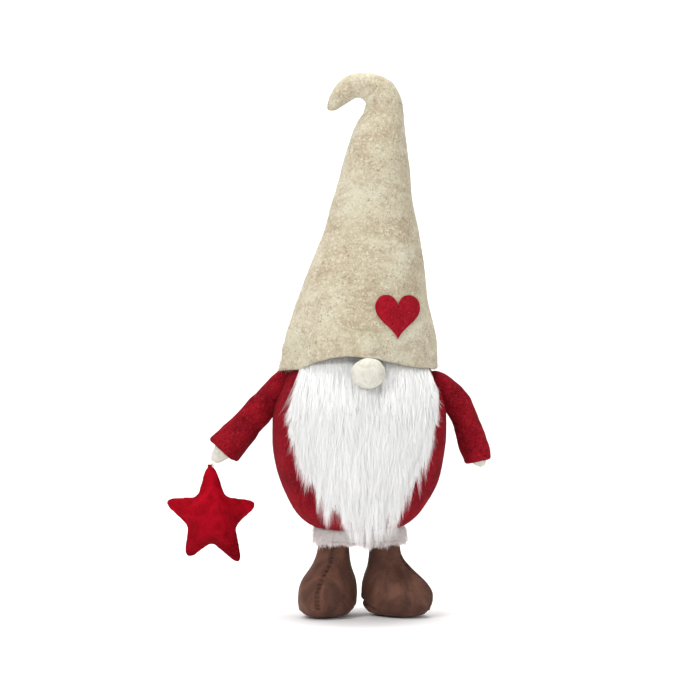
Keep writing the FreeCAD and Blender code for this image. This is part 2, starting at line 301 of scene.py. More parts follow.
def fill_inside(cover, body, node, inset, finish, low=None, high=None):
    """What a cover holds: its own shape, smaller all round, between two heights."""
    work = bmesh.new()
    work.from_mesh(cover.data)
    work.normal_update()
    for vert in work.verts:
        vert.co -= vert.normal * inset * MM
    for height, side in ((low, -1), (high, 1)):
        if height is None:
            continue
        whole = work.verts[:] + work.edges[:] + work.faces[:]
        made = bmesh.ops.bisect_plane(work, geom=whole, plane_co=place(0, 0, height),
                                      plane_no=(0, 0, side), clear_outer=True)
        cut = [item for item in made["geom_cut"] if isinstance(item, bmesh.types.BMEdge)]
        bmesh.ops.contextual_create(work, geom=cut)
    filling = close_bmesh(node + "_inside", work, finish)
    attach(filling, body)
    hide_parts(node)


def thread_mesh(name, paths, radius, finish, body, sides=6):
    """Round threads along paths of points; everything in millimetres about the axis."""
    points, faces = [], []
    for path in paths:
        base = len(points)
        for index, spot in enumerate(path):
            ahead = (path[min(index + 1, len(path) - 1)] - path[max(index - 1, 0)]).normalized()
            across = ahead.orthogonal().normalized()
            up = ahead.cross(across)
            for step in range(sides):
                angle = math.tau * step / sides
                points.append(spot + (across * math.cos(angle) + up * math.sin(angle)) * radius)
        faces += [[base + index for index in face] for face in grid_faces(len(path), sides)]
        faces.append(list(range(base, base + sides)))
        faces.append(list(range(len(points) - sides, len(points))))
    make_piece(name, to_frame(points), faces, finish, body)


def inflate(piece, voxel, pressure, cap, frames=20, pins=None):
    """Remesh a closed piece and puff it up as cloth; no point moves further than cap millimetres."""
    scene = bpy.context.scene
    bpy.context.view_layer.objects.active = piece
    if voxel:
        remesh = piece.modifiers.new("remesh", "REMESH")
        remesh.mode = "VOXEL"
        remesh.voxel_size = voxel * MM
        apply_modifier(piece, remesh)
    before = mesh_points(piece)
    if pins:
        group = piece.vertex_groups.new(name="pins")
        for index, point in enumerate(before):
            hold = pins((Vector(point) - AXIS) / MM)
            if hold > 0:
                group.add([index], hold, "REPLACE")
    cloth = piece.modifiers.new("cloth", "CLOTH")
    cloth.settings.use_pressure = True
    cloth.settings.uniform_pressure_force = pressure
    cloth.settings.effector_weights.gravity = 0
    cloth.settings.tension_stiffness = 30
    cloth.settings.compression_stiffness = 12
    cloth.settings.bending_stiffness = 0.6
    cloth.settings.quality = 6
    cloth.point_cache.frame_end = frames
    if pins:
        cloth.settings.vertex_group_mass = "pins"
    for step in range(1, frames + 1):
        scene.frame_set(step)
    apply_modifier(piece, cloth)
    scene.frame_set(1)
    after = mesh_points(piece)
    move = after - before
    length = np.linalg.norm(move, axis=1, keepdims=True)
    move *= np.minimum(1, cap * MM / np.maximum(length, 1e-9))
    set_points(piece, before + move)


def apply_modifier(piece, modifier):
    """Bake one modifier into the mesh."""
    graph = bpy.context.evaluated_depsgraph_get()
    done = bpy.data.meshes.new_from_object(piece.evaluated_get(graph))
    old = piece.data
    piece.modifiers.remove(modifier)
    piece.data = done
    smooth_faces(done)
    bpy.data.meshes.remove(old)


def subdivide(piece, levels=1):
    modifier = piece.modifiers.new("subdivide", "SUBSURF")
    modifier.levels = levels
    modifier.render_levels = levels
    apply_modifier(piece, modifier)


def mesh_points(piece):
    flat = np.empty(len(piece.data.vertices) * 3)
    piece.data.vertices.foreach_get("co", flat)
    return flat.reshape(-1, 3)


def mesh_normals(piece):
    """The direction that the skin faces at each of its points."""
    flat = np.empty(len(piece.data.vertices) * 3)
    piece.data.vertices.foreach_get("normal", flat)
    return flat.reshape(-1, 3)


def surface_tree(piece):
    """A piece's surface, to cast rays at."""
    work = bmesh.new()
    work.from_mesh(piece.data)
    tree = BVHTree.FromBMesh(work)
    work.free()
    return tree


def set_points(piece, points):
    piece.data.vertices.foreach_set("co", points.reshape(-1))
    piece.data.update()


# ---------------------------------------------------------------- materials

class Shader:
    """A node material under construction, with short calls for the nodes used here."""

    def __init__(self, name, roughness, **values):
        self.material = bpy.data.materials.new(name)
        self.material.use_nodes = True
        self.tree = self.material.node_tree
        self.surface = self.tree.nodes["Principled BSDF"]
        self.surface.inputs["Roughness"].default_value = roughness
        for socket, value in values.items():
            self.surface.inputs[socket.replace("_", " ")].default_value = value
        self.coords = self.tree.nodes.new("ShaderNodeTexCoord").outputs["Object"]

    def noise(self, size_mm, detail=3, roughness=0.55, stretch=(1, 1, 1), offset=0, distortion=0):
        """Noise whose blobs are about size_mm across."""
        mapping = self.tree.nodes.new("ShaderNodeMapping")
        mapping.inputs["Scale"].default_value = stretch
        mapping.inputs["Location"].default_value = (offset, offset * 0.7, offset * 1.3)
        self.tree.links.new(self.coords, mapping.inputs["Vector"])
        node = self.tree.nodes.new("ShaderNodeTexNoise")
        node.inputs["Scale"].default_value = 0.5 / (size_mm * MM)
        node.inputs["Detail"].default_value = detail
        node.inputs["Roughness"].default_value = roughness
        node.inputs["Distortion"].default_value = distortion
        self.tree.links.new(mapping.outputs["Vector"], node.inputs["Vector"])
        return node.outputs["Fac"]

    def height(self, low, high, stops):
        """A ramp over height in metres."""
        parts = self.tree.nodes.new("ShaderNodeSeparateXYZ")
        self.tree.links.new(self.coords, parts.inputs["Vector"])
        reach = self.math("SUBTRACT", parts.outputs["Z"], low)
        return self.ramp(self.math("DIVIDE", reach, high - low), stops)

    def ramp(self, value, stops):
        """Grey or colour ramp; stops are (position, grey or colour)."""
        node = self.tree.nodes.new("ShaderNodeValToRGB")
        elements = node.color_ramp.elements
        while len(elements) < len(stops):
            elements.new(0.5)
        for element, (position, colour) in zip(elements, stops):
            element.position = position
            grey = isinstance(colour, (int, float))
            element.color = (colour, colour, colour, 1) if grey else (*colour, 1)
        self.tree.links.new(value, node.inputs["Fac"])
        return node.outputs["Color"]

    def mix(self, factor, first, second, blend="MIX"):
        node = self.tree.nodes.new("ShaderNodeMix")
        node.data_type = "RGBA"
        node.blend_type = blend
        for value, socket in ((factor, node.inputs["Factor"]), (first, node.inputs["A"]),
                              (second, node.inputs["B"])):
            target = self.colour_input(node, socket)
            if hasattr(value, "is_output"):
                self.tree.links.new(value, target)
            elif isinstance(value, (int, float)):
                target.default_value = value
            else:
                target.default_value = (*value, 1)
        return [out for out in node.outputs if out.type == "RGBA"][0]

    def colour_input(self, node, socket):
        """The colour twin of a mix node's A or B, or the number factor."""
        wanted = "VALUE" if socket.name == "Factor" else "RGBA"
        for candidate in node.inputs:
            if candidate.name == socket.name and candidate.type == wanted:
                return candidate
        return socket

    def math(self, operation, first, second):
        node = self.tree.nodes.new("ShaderNodeMath")
        node.operation = operation
        for value, target in ((first, node.inputs[0]), (second, node.inputs[1])):
            if hasattr(value, "is_output"):
                self.tree.links.new(value, target)
            else:
                target.default_value = value
        return node.outputs["Value"]

    def colour(self, value):
        self.tree.links.new(value, self.surface.inputs["Base Color"])

    def bump(self, height, depth_mm, strength=1.0):
        node = self.tree.nodes.new("ShaderNodeBump")
        node.inputs["Strength"].default_value = strength
        node.inputs["Distance"].default_value = depth_mm * MM
        self.tree.links.new(height, node.inputs["Height"])
        self.tree.links.new(node.outputs["Normal"], self.surface.inputs["Normal"])

    def rough(self, value):
        self.tree.links.new(value, self.surface.inputs["Roughness"])


def hat_felt():
    """Undyed oatmeal wool felt with grey and brown flecks."""
    shader = Shader("hat_felt", 0.95, Sheen_Weight=0.06, Sheen_Roughness=0.5)
    cloud = shader.ramp(shader.noise(30, 3, 0.6, stretch=(1, 1, 1.3), distortion=0.6),
                        [(0.38, (0.43, 0.36, 0.24)), (0.5, (0.54, 0.49, 0.35)),
                         (0.62, (0.59, 0.55, 0.42))])
    patches = shader.ramp(shader.noise(11, 5, 0.7, stretch=(0.8, 0.8, 1.4), offset=3, distortion=0.8),
                          [(0.36, 0.75), (0.54, 0.0)])
    base = shader.mix(patches, cloud, (0.38, 0.29, 0.195))
    pale = shader.ramp(shader.noise(1.5, 3, 0.7, offset=5, distortion=1.0), [(0.5, 0.0), (0.64, 0.8)])
    base = shader.mix(pale, base, (0.68, 0.64, 0.50))
    pepper = shader.noise(1.1, 3, 0.75, offset=9, distortion=1.0)
    amount = shader.math("MULTIPLY", shader.ramp(shader.noise(9, 4, 0.7, stretch=(1, 1, 1.3), offset=12),
                                                 [(0.38, 1.0), (0.62, 0.35)]),
                         shader.ramp(pepper, [(0.53, 0.0), (0.63, 0.85)]))
    base = shader.mix(amount, base, (0.25, 0.17, 0.105))
    shader.colour(base)
    fibres = shader.noise(0.9, 5, 0.7, offset=1, distortion=2.0)
    shader.bump(shader.math("ADD", fibres, shader.noise(4.5, 3, 0.6, offset=2)), 0.8)
    return shader.material


def red_felt(name, deep, main, light, size=1.0):
    """Dyed wool felt, tweedy: lighter and darker fibres tangled together, with shade in its small pits
    painted as dark specks.
    """
    shader = Shader(name, 0.95, Sheen_Weight=0.05, Sheen_Roughness=0.45,
                    Sheen_Tint=(0.9, 0.15, 0.2, 1), Specular_IOR_Level=0.06)
    cloud = shader.ramp(shader.noise(14 * size, 4, 0.6), [(0.34, deep), (0.6, main)])
    flecks = shader.ramp(shader.noise(1.7 * size, 4, 0.7, offset=4, distortion=1.5),
                         [(0.5, 0.0), (0.68, 0.8)])
    base = shader.mix(flecks, cloud, light)
    # Painted shade: dark specks where the felt's small pits would lie in shadow.
    painted_pit_shade = shader.ramp(shader.noise(1.3 * size, 3, 0.7, offset=8, distortion=1.0),
                       [(0.33, 0.85), (0.47, 0.0)])
    base = shader.mix(painted_pit_shade, base, tuple(value * 0.35 for value in deep))
    shader.colour(base)
    shader.bump(shader.noise(1.1 * size, 5, 0.75, offset=1, distortion=1.5), 0.8)
    return shader.material


def cream_felt():
    shader = Shader("cream_felt", 0.95, Sheen_Weight=0.05)
    base = shader.ramp(shader.noise(3.5, 5, 0.7, offset=2, distortion=1.0),
                       [(0.3, (0.52, 0.50, 0.42)), (0.5, (0.62, 0.60, 0.52)), (0.7, (0.69, 0.68, 0.61))])
    shader.colour(base)
    shader.bump(shader.noise(0.8, 5, 0.75, offset=5, distortion=1.5), 0.5)
    return shader.material


def velvet():
    """Red velvet: dense short pile, lighter towards the top and darker low down by painted light and
    shade from above.
    """
    shader = Shader("star_velvet", 0.8, Sheen_Weight=0.07, Sheen_Roughness=0.3,
                    Sheen_Tint=(1.0, 0.08, 0.16, 1), Specular_IOR_Level=0.05)
    patches = shader.ramp(shader.noise(9, 3, 0.5, offset=4, distortion=1.2),
                          [(0.34, (0.22, 0.0006, 0.005)), (0.52, (0.31, 0.0009, 0.008)),
                           (0.68, (0.40, 0.0020, 0.014))])
    # Painted light and shade: a height ramp makes the velvet lighter at the top of the star and darker
    # low down.
    painted_light_from_above = shader.height(0.050, 0.125, [(0.0, (0.43, 0.3, 0.35)), (0.5, (0.72, 0.5, 0.6)),
                                           (1.0, (0.98, 0.9, 0.9))])
    base = shader.mix(1.0, patches, painted_light_from_above, "MULTIPLY")
    grain = shader.ramp(shader.noise(0.8, 3, 0.6), [(0.45, 0.0), (0.75, 0.4)])
    shader.colour(shader.mix(grain, base, (0.42, 0.004, 0.020)))
    shader.bump(shader.noise(0.6, 3, 0.6), 0.25)
    return shader.material


def microsuede():
    """Brown microsuede: soft brushed patches and a very short nap."""
    shader = Shader("boot_suede", 0.75, Sheen_Weight=0.12, Sheen_Roughness=0.4,
                    Sheen_Tint=(0.8, 0.45, 0.33, 1), Specular_IOR_Level=0.3)
    patches = shader.ramp(shader.noise(13, 4, 0.55, stretch=(1, 1, 0.7), offset=6, distortion=0.8),
                          [(0.36, (0.042, 0.0155, 0.009)), (0.5, (0.080, 0.031, 0.019)),
                           (0.66, (0.145, 0.060, 0.037))])
    nap = shader.ramp(shader.noise(0.8, 3, 0.6, offset=3), [(0.3, 0.0), (0.75, 0.35)])
    shader.colour(shader.mix(nap, patches, (0.16, 0.068, 0.044)))
    shader.bump(shader.noise(0.7, 3, 0.6, offset=9), 0.2)
    return shader.material


def hair(name, shade, roughness=0.55):
    """Plain strand finish: the detail is in the strands themselves."""
    shader = Shader(name, roughness, Base_Color=(*shade, 1), Specular_IOR_Level=0.35)
    return shader.material


def woven_backing():
    shader = Shader("fur_backing", 0.9)
    wave = shader.tree.nodes.new("ShaderNodeTexWave")
    wave.inputs["Scale"].default_value = 300
    wave.inputs["Distortion"].default_value = 2
    shader.tree.links.new(shader.coords, wave.inputs["Vector"])
    shader.colour(shader.ramp(wave.outputs["Fac"],
                              [(0.2, (0.62, 0.62, 0.61)), (0.8, (0.78, 0.78, 0.77))]))
    shader.bump(wave.outputs["Fac"], 0.3)
    return shader.material


def wood(name, dark, light):
    shader = Shader(name, 0.6)
    grain = shader.noise(2.5, 5, 0.6, stretch=(1, 1, 0.12), offset=2, distortion=1.5)
    shader.colour(shader.ramp(grain, [(0.35, dark), (0.65, light)]))
    shader.bump(grain, 0.15)
    return shader.material


def steel():
    shader = Shader("wire_steel", 0.35, Metallic=1.0)
    drawn = shader.noise(0.8, 3, 0.6, stretch=(1, 1, 0.1), offset=1)
    shader.colour(shader.ramp(drawn, [(0.3, (0.42, 0.42, 0.43)), (0.7, (0.62, 0.62, 0.63))]))
    shader.rough(shader.ramp(drawn, [(0.3, 0.28), (0.7, 0.45)]))
    return shader.material


def fibre_fill():
    shader = Shader("fibre_fill", 0.95)
    tangle = shader.noise(3, 6, 0.75, offset=1, distortion=3)
    shader.colour(shader.ramp(tangle, [(0.3, (0.7, 0.7, 0.7)), (0.7, (0.88, 0.88, 0.88))]))
    shader.bump(tangle, 1.5)
    return shader.material


def calico():
    shader = Shader("pellet_calico", 0.9)
    weave = shader.noise(0.9, 2, 0.5, offset=1)
    shader.colour(shader.ramp(weave, [(0.3, (0.55, 0.5, 0.41)), (0.7, (0.7, 0.65, 0.55))]))
    shader.bump(weave, 0.2)
    return shader.material


def cotton(name, shade):
    """Twisted sewing thread."""
    shader = Shader(name, 0.8)
    twist = shader.noise(0.5, 2, 0.5, stretch=(1, 1, 2), offset=1)
    shader.colour(shader.ramp(twist, [(0.3, tuple(v * 0.75 for v in shade)), (0.7, shade)]))
    shader.bump(twist, 0.1)
    return shader.material


# ---------------------------------------------------------------- hat

# How the brim's edge rises and falls round the hat: (degrees from the front, rise).
BRIM_ARCH = [(-180, 0), (-120, 0), (-95, -4), (-75, -2), (-58, 0.5), (-38, 5.5), (-22, 8), (-5, 9.5),
             (10, 8), (22, 5), (38, 2.5), (60, 1), (90, 0), (130, 0), (180, 0)]


def brim_lift(angle):
    """How far the brim's edge stands above its level, at an angle from the front in degrees."""
    return float(np.interp(angle, [row[0] for row in BRIM_ARCH], [row[1] for row in BRIM_ARCH]))


def hat_surface(rows=170, around=168):
    """Outer rows of the hat, from the brim up to the end of the curl."""
    depth_low, depth_high = HAT_DEPTH
    out = []
    for x, z, radius, lean in smooth_through(HAT_RUN, rows):
        level = min(max((z - BRIM) / (TIP_BALL.z - BRIM), 0), 1)
        depth = depth_low + (depth_high - depth_low) * level
        out.append(ring(x, z, radius, radius * depth, lean, around))
    return out


def shape_brim(rows):
    """Arch the brim over the nose and flare it over the arm on the left."""
    around = len(rows[0])
    shaped = []
    for row in rows:
        new = []
        for step, (x, y, z) in enumerate(row):
            angle = math.degrees(2 * math.pi * step / around)
            angle = angle - 360 if angle > 180 else angle
            above = max(z - BRIM, 0)
            lift, flare = 0, 0
            if z < BRIM_SHAPED_TO:
                lift = brim_lift(angle) * math.exp(-above / 16)
            if z < BRIM_SHAPED_TO and angle < 60:
                flare = 5.5 * math.exp(-((angle + 88) / 20) ** 2) * math.exp(-above / 9)
                flare += 9 * math.exp(-((x - NOSE[0]) / 15) ** 2) * math.exp(-above / 7)
            new.append([x + flare * math.sin(math.radians(angle)),
                        y - flare * math.cos(math.radians(angle)), z + lift])
        shaped.append(new)
    return shaped


def press_side_seams(points, around):
    """Sink the seam at each side of the hat between two soft ridges."""
    for index, point in enumerate(points):
        angle = 2 * math.pi * (index % around) / around
        beside = min(abs(angle - math.pi / 2), abs(angle - 3 * math.pi / 2))
        valley = 1.1 * math.exp(-(beside / 0.045) ** 2) - 0.5 * math.exp(-((beside - 0.1) / 0.05) ** 2)
        point[0] -= valley * math.sin(angle)
        point[1] += valley * math.cos(angle)


def make_hat(felt):
    """One stuffed felt cone with a turned-in brim and two side seams; it bends near its tip."""
    rows = shape_brim(hat_surface())
    around = len(rows[0])
    half_wide, half_deep = BRIM_HALF
    turned_in = []
    for level, inset in ((26, 4.5), (14, 3.6), (3, 3.3), (0.6, 2.6), (-0.6, 1.3)):
        turned_in.append([[x * (1 - inset / half_wide), y * (1 - inset / half_deep), z + level]
                          for x, y, z in rows[0]])
    rows = turned_in + rows
    points = [list(point) for row in rows for point in row]
    faces = grid_faces(len(rows), around)
    points.append([sum(values) / around for values in zip(*rows[-1])])
    base = (len(rows) - 1) * around
    for step in range(around):
        faces.append((base + step, base + (step + 1) % around, len(points) - 1))
    points = dent(points, 55, 3.0, 1, (1, 1, 0.7))
    points = dent(points, 21, 1.3, 2, (1, 1, 0.6))
    points = dent(points, 6, 0.35, 3)
    press_side_seams(points[:-1], around)
    hat = make_piece("hat", to_frame(points), faces, felt, None)
    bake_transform(hat)
    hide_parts("hat_front_panel", "hat_back_panel", "hat_tip_front_panel", "hat_tip_back_panel")
    return hat


def heart_outline(half, count=64):
    """Points round a plump heart, centred on nothing, with its point at the bottom."""
    outline = []
    for step in range(count):
        t = 2 * math.pi * step / count
        x = math.sin(t) ** 3
        z = (13 * math.cos(t) - 5 * math.cos(2 * t) - 2 * math.cos(3 * t) - math.cos(4 * t)) / 16
        outline.append((x * half * 1.02, (z + 0.1) * half * 1.12))
    return outline


def make_heart(felt, hat):
    """A die-cut felt heart laid on the hat's dented felt, with a soft rounded edge."""
    tree = surface_tree(hat)
    centre_x, centre_z, half = HEART
    outline = heart_outline(half)
    points, rows = [], []
    for share, out in ((1.0, 0.5), (1.0, 1.5), (0.975, 2.2), (0.93, 2.5), (0.7, 2.6), (0.4, 2.65)):
        row = []
        for x, z in outline:
            px, pz = centre_x + x * share, centre_z + z * share
            hit = tree.ray_cast(place(px, -200, pz), Vector((0, 1, 0)))[0]
            row.append([px, (hit.y - AXIS.y) / MM - out, pz])
        rows.append(row)
    points, faces = closed_rows(rows)
    points = dent(points, 5, 0.5, 11)
    heart = make_piece("heart", to_frame(points), faces, felt, "body")
    subdivide(heart)
    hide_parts("heart_applique")


def make_nose(felt):
    """A needle-felted ball, slightly uneven."""
    low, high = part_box("nose_ball")
    middle = (Vector(low) + Vector(high)) / 2
    work = bmesh.new()
    bmesh.ops.create_icosphere(work, subdivisions=5, radius=NOSE[1] * MM)
    for vert in work.verts:
        spot = vert.co / MM
        lump = noise.noise(spot / 9) * 0.7 + noise.noise(spot / 2.5) * 0.25
        vert.co += vert.co.normalized() * lump * MM
        vert.co = Vector((vert.co.x * 1.07, vert.co.y * 0.92, vert.co.z * 0.95))
        vert.co += middle + Vector((0, 0.0015, -0.0010))
    nose = close_bmesh("nose", work, felt)
    smooth_faces(nose.data)
    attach(nose, "body")
    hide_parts("nose_ball")


# ---------------------------------------------------------------- body and arms

def make_body(felt):
    """The stuffed felt egg, inflated as cloth from a slightly smaller shape."""
    rows = []
    for z, left, right in smooth_through(BODY_RUN, 60):
        half = (left + right) / 2 - 1.2
        rows.append(ring((right - left) / 2, z, half, half * BODY_DEPTH, 0, 96))
    points, faces = closed_rows(rows)
    points = dent(points, 38, 1.6, 21)
    body = make_piece("body_cover", to_frame(points), faces, felt, None)
    inflate(body, voxel=5, pressure=2.2, cap=5,
            pins=lambda spot: 1.0 if spot.z > 262 or spot.z < 83 else 0.0)
    subdivide(body)
    finish_in(body, felt)
    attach(body, "body")
    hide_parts("body_front_panel", "body_back_panel")
    return body


def make_sleeve(side, felt):
    """A felt sleeve with soft creases and an open, thick-edged cuff."""
    run = SLEEVE_RUN[side]
    rows = tube(run, ARM_FLAT, 60, 56)
    x, z, radius, lean = run[-1]
    turn = math.radians(lean)
    for inset, along in ((1.0, -1.7), (2.2, -2.0), (3.3, -0.6), (3.6, 8), (4.2, 20)):
        rows.append(ring(x + math.sin(turn) * along, z + math.cos(turn) * along, radius - inset,
                         (radius - inset) * ARM_FLAT, lean, 56))
    points, faces = closed_rows(rows)
    points = dent(points, 17, 1.5, 31 if side == "left" else 37)
    points = dent(points, 6, 0.5, 33)
    sleeve = make_piece(side + "_sleeve_cover", to_frame(points), faces, felt, side + "_arm")
    subdivide(sleeve)
    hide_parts(side + "_sleeve")


def make_hand(side, felt):
    """A small felt mitten: a blunt cone."""
    rows = tube(HAND_RUN[side], 0.8, 24, 32)
    points, faces = closed_rows(rows)
    points = dent(points, 6, 0.6, 41)
    hand = make_piece(side + "_mitten", to_frame(points), faces, felt, side + "_arm")
    subdivide(hand)
    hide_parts(side + "_hand")


# ---------------------------------------------------------------- star

def star_outline():
    """The sewn star's outline with round points and round valleys, about its middle."""
    corners = []
    count = len(STAR_POINTS)
    for index, (angle, reach) in enumerate(STAR_POINTS):
        after = STAR_POINTS[(index + 1) % count][0]
        after = after - 360 if after > angle else after
        corners.append((math.radians(angle), reach, POINT_ROUND, 9))
        corners.append((math.radians((angle + after) / 2), STAR_INNER, VALLEY_ROUND, 6))
    spots = [Vector((math.cos(angle) * reach, math.sin(angle) * reach)) for angle, reach, _, _ in corners]
    outline = []
    for index, spot in enumerate(spots):
        before, after = spots[index - 1], spots[(index + 1) % len(spots)]
        _, _, rounding, steps = corners[index]
        start = spot + (before - spot).normalized() * rounding
        end = spot + (after - spot).normalized() * rounding
        for t in np.linspace(0, 1, steps):
            outline.append(start * (1 - t) ** 2 + spot * 2 * t * (1 - t) + end * t ** 2)
        next_start = after + (spot - after).normalized() * corners[(index + 1) % len(spots)][2]
        gap = (next_start - end).length
        for t in np.linspace(0, 1, max(int(gap / SHEET_STEP), 2) + 1)[1:-1]:
            outline.append(end.lerp(next_start, t))
    return outline


def star_sheet(outline):
    """A triangulated sheet inside an outline."""
    count = len(outline)
    inside = []
    reach = 24
    for row in range(-reach, reach):
        for column in range(-reach, reach):
            spot = Vector(((column + 0.5 * (row % 2)) * SHEET_STEP, row * SHEET_STEP * 0.87))
            if point_inside(spot, outline) and edge_distance(spot, outline) > SHEET_STEP * 0.6:
                inside.append(spot)
    edges = [(index, (index + 1) % count) for index in range(count)]
    spots, _, faces, _, _, _ = delaunay_2d_cdt(outline + inside, edges, [], 1, 1e-5)
    return [tuple(spot) for spot in spots], [tuple(face) for face in faces]


def point_inside(spot, outline):
    inside = False
    for index, first in enumerate(outline):
        second = outline[index - 1]
        if (first.y > spot.y) != (second.y > spot.y):
            cross = (second.x - first.x) * (spot.y - first.y) / (second.y - first.y) + first.x
            inside = not inside if spot.x < cross else inside
    return inside


def edge_distance(spot, outline):
    return min((spot - point).length for point in outline)


def make_star(velvet_red):
    """Two velvet stars sewn edge to edge and blown up as cloth, so that the skin puckers by itself."""
    centre_z = THREAD_LOW.z - STAR_DROP
    outline = star_outline()
    sheet, triangles = star_sheet(outline)
    rim = {index for index, spot in enumerate(sheet)
           if edge_distance(Vector(spot), outline) < 0.3}
    points = [[x, -2.0, z] for x, z in sheet]
    back = {}
    for index in rim:
        points[index][1] = 0.0
        back[index] = index
    for index, (x, z) in enumerate(sheet):
        if index not in rim:
            back[index] = len(points)
            points.append([x, 2.0, z])
    faces = list(triangles) + [tuple(back[index] for index in reversed(face)) for face in triangles]
    shifted = [[x + THREAD_LOW.x - STAR_LEFT, y, z + centre_z] for x, y, z in points]
    star = make_piece("star_cover", to_frame(shifted), faces, velvet_red, None)
    before = mesh_points(star)
    inflate(star, voxel=None, pressure=26, cap=22, frames=30)
    fit_box(star, before)
    seam_groove(star, rim, 0.6)
    subdivide(star)
    finish_in(star, velvet_red)
    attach(star, "star")
    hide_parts("star_front_panel", "star_back_panel")
    return star


def fit_box(piece, before):
    """Bring an inflated piece back to the width and height that it was cut to."""
    points = mesh_points(piece)
    for axis in (0, 2):
        wanted = before[:, axis].max() - before[:, axis].min()
        has = points[:, axis].max() - points[:, axis].min()
        middle = (points[:, axis].max() + points[:, axis].min()) / 2
        aim = (before[:, axis].max() + before[:, axis].min()) / 2
        points[:, axis] = (points[:, axis] - middle) * wanted / has + aim
    set_points(piece, points)


def seam_groove(piece, rim, depth):
    """Sink the seam a little between the two skins."""
    points = mesh_points(piece)
    normals = mesh_normals(piece)
    for index in rim:
        points[index] -= normals[index] * depth * MM
    set_points(piece, points)


def make_thread(finish):
    """The short doubled sewing thread between the hand and the star, with its knots."""
    work = bmesh.new()
    for spot in (THREAD_TOP, THREAD_LOW):
        made = bmesh.ops.create_icosphere(work, subdivisions=3, radius=KNOT_R * MM)
        for vert in made["verts"]:
            vert.co += place(*spot)
    start, end = place(*THREAD_TOP), place(*THREAD_LOW)
    for side in (-COTTON_APART, COTTON_APART):
        made = bmesh.ops.create_cone(work, segments=10, radius1=COTTON_R * MM, radius2=COTTON_R * MM,
                                     depth=(start - end).length)
        for vert in made["verts"]:
            vert.co += (start + end) / 2 + Vector((side * MM, 0, 0))
    thread = close_bmesh("hanging_thread", work, finish)
    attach(thread, "thread")
    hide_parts("star_thread")


# ---------------------------------------------------------------- boots

# Boots: (height, how far the middle is ahead of the leg, half length, half width) upwards.
BOOT_RUN = [(0.4, 11.5, 18, 11), (1.2, 12, 24, 16.5), (3.5, 13, 29.5, 21.5), (8.5, 13.4, 34, 25.2),
            (16, 13.6, 36.8, 27.6), (26, 13, 36.4, 27.8), (36, 10, 31.8, 25.6), (45, 5.8, 24.6, 21.4),
            (53, 2.3, 19, 18.3), (61, 0.6, 16.4, 16.4), (72, 0, 15.6, 15.6)]
# Which way the toes point, round from +X, and how far to the side the middle seam is sewn.
TOE_ANGLE = {"left": math.radians(-115), "right": math.radians(-28)}
SEAM_SHIFT = {"left": 6.0, "right": 0.0}
# How far apart the stitches of that seam are.
STITCH_STEP = 3.8


def boot_axes(side):
    """The foot of a leg, and the directions to the toe and across the boot."""
    angle = TOE_ANGLE[side]
    toe = Vector((math.cos(angle), math.sin(angle), 0))
    across = Vector((-math.sin(angle), math.cos(angle), 0))
    return place(LEGS[side].x, LEGS[side].y, 0), toe, across


def make_boot(side, suede):
    """A stuffed suede boot, puffed up as cloth, with its front seam sunk in afterwards."""
    rows = []
    for z, centre, half_long, half_wide in smooth_through(BOOT_RUN, 44):
        rows.append(ring(centre, z, half_long - 0.6, half_wide - 0.6, 0, 72))
    points, faces = closed_rows(rows)
    points = dent(points, 20, 1.5, 51 if side == "left" else 57)
    angle = TOE_ANGLE[side]
    leg = LEGS[side]

    def turned(point):
        x, y, z = point
        return place(leg.x + x * math.cos(angle) - y * math.sin(angle),
                     leg.y + x * math.sin(angle) + y * math.cos(angle), max(z, 0.4))

    boot = make_piece(side + "_boot_cover", [turned(point) for point in points], faces, suede, None)
    inflate(boot, voxel=3.2, pressure=1.6, cap=3,
            pins=lambda spot: 1.0 if spot.z > 64 or spot.z < 2 else 0.0)
    sink_seams(side, boot)
    subdivide(boot)
    finish_in(boot, suede)
    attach(boot, side + "_boot")
    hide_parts(side + "_boot_left_panel", side + "_boot_right_panel", side + "_boot_sole")
    return boot


def make_boot_stitches(side, boot, finish):
    """Ladder stitches that pull the middle seam of a boot together."""
    leg, toe, across = boot_axes(side)
    tree = surface_tree(boot)
    paths = []
    for step in range(3, 16):
        height = step * STITCH_STEP
        path = []
        for beside in np.array((-2.6, -1.4, 0, 1.4, 2.6)) + SEAM_SHIFT[side]:
            start = leg + toe * 0.08 + across * float(beside) * MM + Vector((0, 0, height * MM))
            hit = tree.ray_cast(start, -toe)[0]
            if hit:
                lift = 0.35 if abs(beside - SEAM_SHIFT[side]) < 2 else -0.3
                path.append((hit + toe * lift * MM - AXIS) / MM)
        if len(path) == 5:
            path[2] = (path[1] + path[3]) / 2
            paths.append(path)
    thread_mesh(side + "_boot_stitches", paths, 0.33, finish, side + "_boot")


def sink_seams(side, boot):
    """Press the middle seam and the sole seam into the boot."""
    leg, toe, across = boot_axes(side)
    subdivide(boot)
    points = mesh_points(boot)
    normals = mesh_normals(boot)
    for index, point in enumerate(points):
        spot = (Vector(point) - leg) / MM
        beside = spot.dot(across) - SEAM_SHIFT[side]
        along = spot.dot(toe)
        pucker = 1 + 0.3 * math.sin(math.tau * spot.z / STITCH_STEP)
        seam = 3.2 * math.exp(-(beside / 1.4) ** 2) * pucker
        seam -= 0.7 * math.exp(-((abs(beside) - 3.2) / 1.7) ** 2) * pucker
        seam *= 1.0 if along > 0 or spot.z > 30 else 0.5
        sole_height = 4 + 12 * min(max((10 - along) / 33, 0), 1)
        welt = 2.6 * math.exp(-((spot.z - sole_height) / 1.5) ** 2)
        welt -= 0.8 * math.exp(-((abs(spot.z - sole_height) - 3.6) / 2.0) ** 2)
        if normals[index][2] > -0.6:
            points[index] -= normals[index] * (seam + welt) * MM
    points[:, 2] = np.maximum(points[:, 2], 0.0002)
    set_points(boot, points)


# ---------------------------------------------------------------- fur

# The most faces in one piece of fur.
FACES_PER_PIECE = 180000


